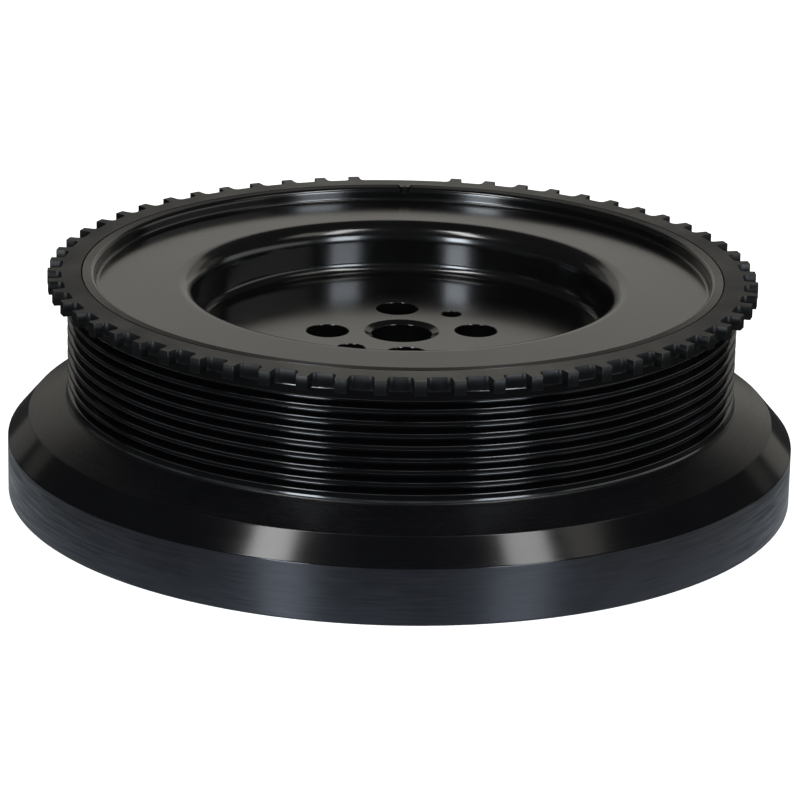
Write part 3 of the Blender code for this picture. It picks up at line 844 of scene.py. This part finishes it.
def make_inertia_ring(finish):
    """The heavy ring, wide in the skirt and narrow under the grooves, with its bush and pad seats."""
    edge = 0.5 * MM
    step = SKIRT_CHAMBER_TOP - FLUID_GAP
    narrow = NECK_CHAMBER - FLUID_GAP
    bore = INNER_WALL + RING_OVER_WALL
    corners = [
        (narrow, inertia_high.z, edge),
        (narrow, step, edge),
        (inertia_high.x, step, edge),
        (inertia_high.x, inertia_low.z, edge),
        (bore, inertia_low.z, edge),
    ]
    for name in ("lower_bush", "upper_bush"):
        low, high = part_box(name)
        corners += [
            (bore, low.z, 0.0),
            (high.x + SEAT_GAP, low.z, FINE_EDGE),
            (high.x + SEAT_GAP, high.z + SEAT_GAP, FINE_EDGE),
            (bore, high.z + SEAT_GAP, 0.0),
        ]
    corners.append((bore, inertia_high.z, edge))
    ring = turned("inertia_mass", corners)
    for name in pad_names():
        low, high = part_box(name)
        at = ((low.x + high.x) / 2, (low.y + high.y) / 2)
        radius = (high.x - low.x) / 2 + SEAT_GAP
        if "lower" in name:
            cut(ring, hole_tool(radius, inertia_low.z, high.z, at, blind=True))
        else:
            cut(ring, hole_tool(radius, low.z, inertia_high.z, at, upward=True))
    dress(ring, finish, "inertia", "inertia_ring")


def pad_names():
    return [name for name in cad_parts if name.startswith("thrust_pad")]


def make_bush(node, finish):
    """A split band with an oil groove round the middle of its bore."""
    low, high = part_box(node)
    outer = high.x
    bore = outer - BUSH_THICKNESS
    middle = (low.z + high.z) / 2
    bush = turned(node + "_band", [
        (outer, high.z, BROAD_EDGE),
        (outer, low.z, BROAD_EDGE),
        (bore, low.z, BROAD_EDGE),
        (bore, middle - OIL_GROOVE, FINE_EDGE),
        (bore + OIL_GROOVE / 2, middle, PLAIN_EDGE),
        (bore, middle + OIL_GROOVE, FINE_EDGE),
        (bore, high.z, BROAD_EDGE),
    ])
    split = [
        (bore - PAST, -BUSH_SPLIT / 2),
        (outer + PAST, -BUSH_SPLIT / 2),
        (outer + PAST, BUSH_SPLIT / 2),
        (bore - PAST, BUSH_SPLIT / 2),
    ]
    cut(bush, plate(split, low.z - PAST, high.z + PAST))
    dress(bush, finish, "inertia", node)


def make_pad(node, finish):
    """A round pad with eased edges and a dimple that holds fluid in its running face."""
    low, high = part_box(node)
    at = ((low.x + high.x) / 2, (low.y + high.y) / 2)
    radius = (high.x - low.x) / 2
    lower = "lower" in node
    face, back = (low.z, high.z) if lower else (high.z, low.z)
    inward = 1 if lower else -1
    corners = [
        (0.0, face + inward * DIMPLE, 0.0),
        (radius * 0.28, face + inward * DIMPLE, PLAIN_EDGE),
        (radius * 0.36, face, PLAIN_EDGE),
        (radius, face, 0.6 * MM),
        (radius, back, BROAD_EDGE),
        (0.0, back, 0.0),
    ]
    pad = turned(node + "_disc", corners, SMALL, closed=False, at=at)
    dress(pad, finish, "inertia", node)


# ---- Build ---------------------------------------------------------------------------------

cover_finish = black_coat(
    "cover_black", (0.004, 0.004, 0.004), (0.008, 0.008, 0.008), 0.22, 0.32, 0.001 * MM, 0.5 * MM
).material
bead = weld_steel()
plated = plated_steel()
copper = turned_steel("washer_copper", (0.72, 0.36, 0.22))
bronze = turned_steel("bush_bronze", (0.62, 0.42, 0.2))
plastic = bearing_plastic()

make_housing()
make_tone_ring()
make_cover(cover_finish)
make_weld("outer_weld", (COVER_OUTER + COVER_OUTER_SEAT) / 2, bead)
make_weld("inner_weld", (COVER_INNER + COVER_INNER_SEAT) / 2, bead)
for plug_number, plug_place in plug_places():
    make_plug(plug_number, plug_place, plated, copper)
make_inertia_ring(turned_steel("inertia_steel", (0.42, 0.42, 0.43)))
for bush_name in ("lower_bush", "upper_bush"):
    make_bush(bush_name, bronze)
for pad_name in pad_names():
    make_pad(pad_name, plastic)

# ---- Stage, light and camera ---------------------------------------------------------------

CAMERA_DISTANCE = 1.26             # from the centre of the tone ring's top face
CAMERA_ELEVATION = math.radians(16.72)
CAMERA_ROLL = math.radians(1.18)
CAMERA_LENS = 191.4
SENSOR = 36.0
AIM_ACROSS = -0.0001               # the middle of the picture, from the ring's centre, in metres
AIM_DOWN = 0.0382


def make_camera():
    camera = bpy.data.objects.new("camera", bpy.data.cameras.new("camera"))
    bpy.context.scene.collection.objects.link(camera)
    camera.data.lens = CAMERA_LENS
    camera.data.sensor_width = SENSOR
    camera.data.clip_end = 100.0
    ring_centre = Vector((0.0, 0.0, TOP))
    back = Vector((0.0, -math.cos(CAMERA_ELEVATION), math.sin(CAMERA_ELEVATION)))
    up = Vector((0.0, math.sin(CAMERA_ELEVATION), math.cos(CAMERA_ELEVATION)))
    camera.location = ring_centre + back * CAMERA_DISTANCE
    middle = ring_centre - up * AIM_DOWN + Vector((AIM_ACROSS, 0.0, 0.0))
    looking = (middle - camera.location).to_track_quat("-Z", "Y").to_matrix()
    camera.rotation_euler = (looking @ Matrix.Rotation(CAMERA_ROLL, 3, "Z")).to_euler()
    bpy.context.scene.camera = camera


def soft_light(name, shape, width, height, brightness, tint):
    """A soft light that is seen in reflections but not by the camera."""
    data = bpy.data.lights.new(name, "AREA")
    data.shape = shape
    data.size = width
    data.size_y = height
    data.color = tint
    area = width * height if shape == "RECTANGLE" else math.pi * width * width / 4
    data.energy = math.pi * area * brightness
    light = bpy.data.objects.new(name, data)
    bpy.context.scene.collection.objects.link(light)
    light.visible_camera = False
    return light


def panel(name, around, up, brightness, tint):
    """A panel facing the part, between two angles round it (0 is the camera's side) and two above it."""
    middle = math.radians(sum(around) / 2)
    rise = math.radians(sum(up) / 2)
    width = 2 * PANEL_DISTANCE * math.tan(math.radians(around[1] - around[0]) / 2) * math.cos(rise)
    height = 2 * PANEL_DISTANCE * math.tan(math.radians(up[1] - up[0]) / 2)
    light = soft_light(name, "RECTANGLE", width, height, brightness, tint)
    away = Vector((math.sin(middle) * math.cos(rise), -math.cos(middle) * math.cos(rise), math.sin(rise)))
    light.location = Vector((0.0, 0.0, TOP / 2)) + away * PANEL_DISTANCE
    light.rotation_euler = (-away).to_track_quat("-Z", "Y").to_euler()


def make_floor():
    shape = bmesh.new()
    bmesh.ops.create_circle(shape, cap_ends=True, segments=96, radius=12.0)
    floor = piece_from("floor", shape)
    finish = Finish("floor_white", (0.9, 0.9, 0.9), 0.0, 0.9, Specular_IOR_Level=0.0)
    finish.shader.inputs["Emission Color"].default_value = (1.0, 1.0, 1.0, 1.0)
    finish.shader.inputs["Emission Strength"].default_value = 1.0
    floor.data.materials.append(finish.material)
    floor.visible_diffuse = False
    floor.visible_glossy = False
    floor.visible_shadow = False


def make_world():
    """White to look at, and a dim grey room in reflections."""
    world = bpy.data.worlds.new("studio")
    bpy.context.scene.world = world
    world.use_nodes = True
    nodes = world.node_tree.nodes
    links = world.node_tree.links
    room = nodes["Background"]
    room.inputs["Color"].default_value = (0.035, 0.035, 0.035, 1.0)
    white = nodes.new("ShaderNodeBackground")
    white.inputs["Color"].default_value = (1.0, 1.0, 1.0, 1.0)
    chosen = nodes.new("ShaderNodeMixShader")
    links.new(nodes.new("ShaderNodeLightPath").outputs["Is Camera Ray"], chosen.inputs[0])
    links.new(room.outputs[0], chosen.inputs[1])
    links.new(white.outputs[0], chosen.inputs[2])
    links.new(chosen.outputs[0], nodes["World Output"].inputs["Surface"])


COOL = (0.84, 0.92, 1.0)
WARM = (1.0, 0.97, 0.88)
PLAIN = (1.0, 1.0, 1.0)
PANEL_DISTANCE = 2.0

# Each panel's name, angles round the part, angles above its middle, brightness and tint
PANELS = [
    ("left_strip", (-37, -25), (-3, 26), 11.0, COOL),
    ("right_strip", (26, 42), (-3, 26), 7.0, COOL),
    ("left_top", (-56, -40), (46, 68), 8.5, PLAIN),
    ("right_top", (41, 58), (46, 68), 6.5, PLAIN),
    ("right_side", (62, 88), (45, 60), 0.9, WARM),
    ("right_fill", (55, 118), (-2, 21), 0.6, PLAIN),
    ("backdrop", (167, 193), (10.5, 29), 0.51, WARM),
    ("backdrop_left", (193, 211), (11, 29), 0.33, WARM),
    ("backdrop_right", (149, 167), (11, 29), 0.34, WARM),
    ("backdrop_far_left", (211, 232), (11, 26), 0.14, WARM),
    ("backdrop_far_right", (128, 149), (11, 26), 0.12, WARM),
    ("low_left", (180, 208), (-1, 11), 0.24, WARM),
    ("low_far_left", (208, 222), (-1, 11), 0.18, WARM),
    ("low_right", (152, 180), (-1, 11), 0.45, WARM),
    ("low_far_right", (138, 152), (-1, 11), 0.30, WARM),
]

# The light that comes back up from the table: name, radius and brightness
TABLE_GLOWS = [("table", 0.152, 0.50), ("table_near", 0.132, 0.60)]
TABLE_DEPTH = 0.001


def make_lights():
    for name, around, up, brightness, tint in PANELS:
        panel(name, around, up, brightness, tint)
    for name, radius, brightness in TABLE_GLOWS:
        table = soft_light(name, "DISK", 2 * radius, 2 * radius, brightness, COOL)
        table.location = (0.0, 0.0, -TABLE_DEPTH)
        table.rotation_euler = (math.pi, 0.0, 0.0)


make_camera()
make_floor()
make_world()
make_lights()

bpy.context.scene.view_settings.view_transform = "Standard"
